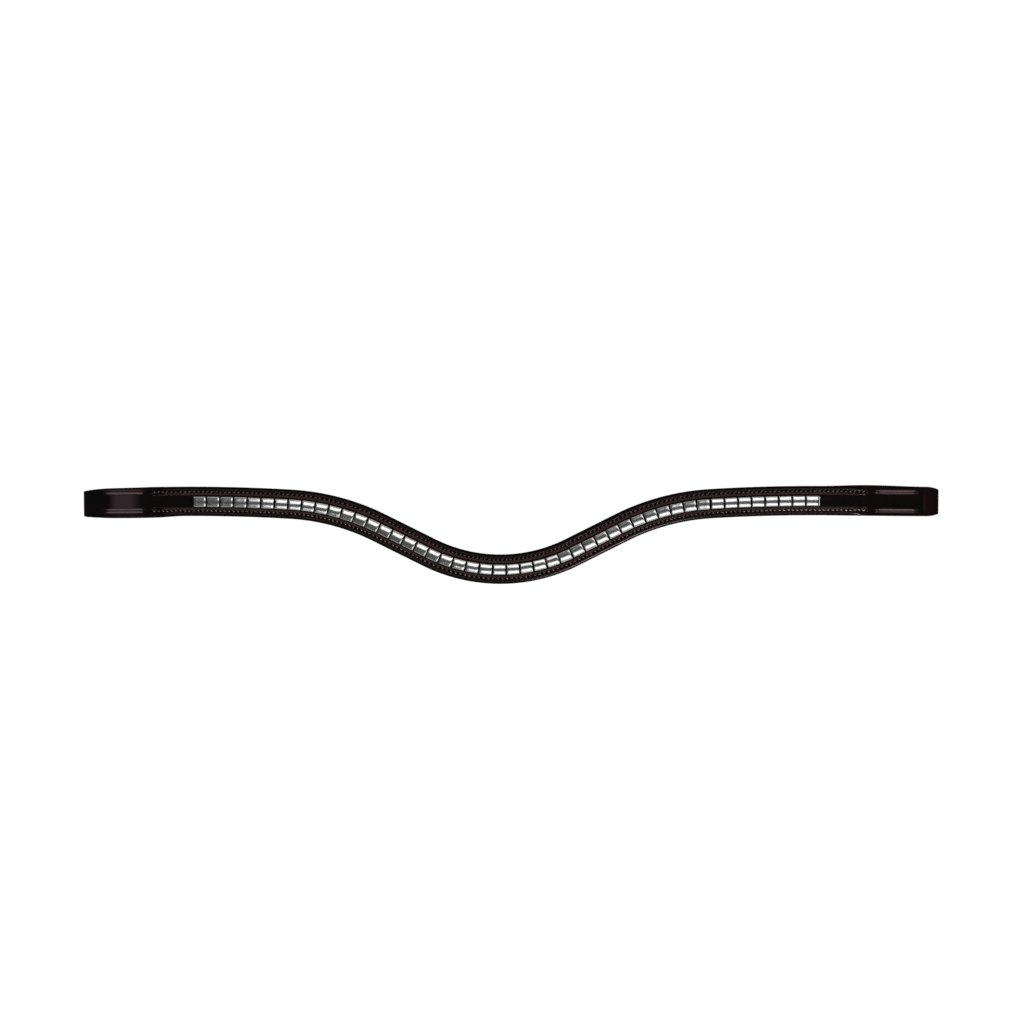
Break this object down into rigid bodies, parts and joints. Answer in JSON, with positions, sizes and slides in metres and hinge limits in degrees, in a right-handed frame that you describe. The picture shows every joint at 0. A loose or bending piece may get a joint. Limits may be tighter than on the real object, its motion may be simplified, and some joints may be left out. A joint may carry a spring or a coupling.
{
  "type": "bridle browband",
  "caption": "Padded dark brown leather browband with a U-shaped dip, folded nickel clinchers set in its face, stitched padded edges and a loop at each end for a headpiece.",
  "frame": {"origin": "middle of the band's box, on the plane that the back of the lining lies on", "axes": "+X along the band, +Y towards the crown of the horse's head (away from the dip), +Z out of the face with the clinchers"},
  "size_m": [0.4066, 0.0468, 0.0105],
  "materials": {
    "bridle_leather": "satin",
    "soft_leather": "matte",
    "foam": "matte",
    "cotton": "matte",
    "nickel": "gloss"
  },
  "bodies": {
    "root": {"face_leather": "bridle_leather", "lining_leather": "soft_leather", "padding_foam": "foam", "upper_rail_cord": "cotton", "lower_rail_cord": "cotton", "clincher_tape": "soft_leather", "end_staple": "nickel", "clincher_01": "nickel", "clincher_02": "nickel", "clincher_03": "nickel", "clincher_04": "nickel", "clincher_05": "nickel", "clincher_06": "nickel", "clincher_07": "nickel", "clincher_08": "nickel", "clincher_09": "nickel", "clincher_10": "nickel", "clincher_11": "nickel", "clincher_12": "nickel", "clincher_13": "nickel", "clincher_14": "nickel", "clincher_15": "nickel", "clincher_16": "nickel", "clincher_17": "nickel", "clincher_18": "nickel", "clincher_19": "nickel", "clincher_20": "nickel", "clincher_21": "nickel", "clincher_22": "nickel", "clincher_23": "nickel", "clincher_24": "nickel", "clincher_25": "nickel", "clincher_26": "nickel", "clincher_27": "nickel", "clincher_28": "nickel", "clincher_29": "nickel", "clincher_30": "nickel", "clincher_31": "nickel", "clincher_32": "nickel", "clincher_33": "nickel", "clincher_34": "nickel", "clincher_35": "nickel", "clincher_36": "nickel", "clincher_37": "nickel", "clincher_38": "nickel", "clincher_39": "nickel", "clincher_40": "nickel", "clincher_41": "nickel", "clincher_42": "nickel", "clincher_43": "nickel", "clincher_44": "nickel", "clincher_45": "nickel", "clincher_46": "nickel", "clincher_47": "nickel", "clincher_48": "nickel"}
  },
  "joints": []
}
